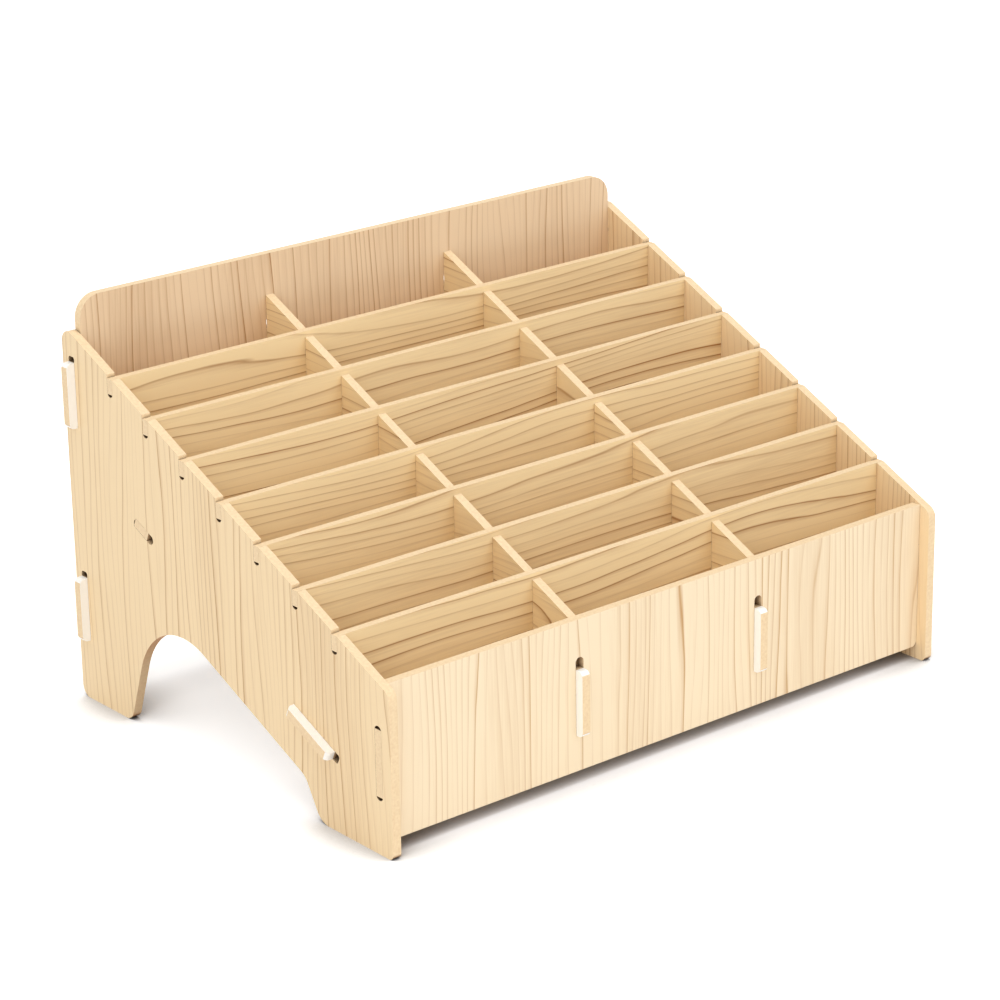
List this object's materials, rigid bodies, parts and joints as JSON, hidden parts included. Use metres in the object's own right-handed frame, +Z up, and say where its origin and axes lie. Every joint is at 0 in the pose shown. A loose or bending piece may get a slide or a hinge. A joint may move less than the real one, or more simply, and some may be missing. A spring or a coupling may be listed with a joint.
{
  "type": "charging station organizer",
  "caption": "Sloping desktop rack of slotted thin boards with three columns of narrow upright cells for phones, on two arched sides.",
  "frame": {"origin": "on the ground under the middle of the rack's bounding box", "axes": "+X to the right across the columns, +Y from the low front to the high rear, +Z up"},
  "size_m": [0.308, 0.217, 0.18],
  "materials": {
    "side_board": "satin printed wood grain",
    "panel_board": "satin printed wood grain",
    "inner_board": "satin printed wood grain"
  },
  "bodies": {
    "root": {"left_side": "side_board", "right_side": "side_board", "front_panel": "panel_board", "back_panel": "panel_board", "floor_board": "inner_board", "divider_left": "inner_board", "divider_right": "inner_board", "partition_1": "inner_board", "partition_2": "inner_board", "partition_3": "inner_board", "partition_4": "inner_board", "partition_5": "inner_board", "partition_6": "inner_board", "partition_7": "inner_board"}
  },
  "joints": []
}
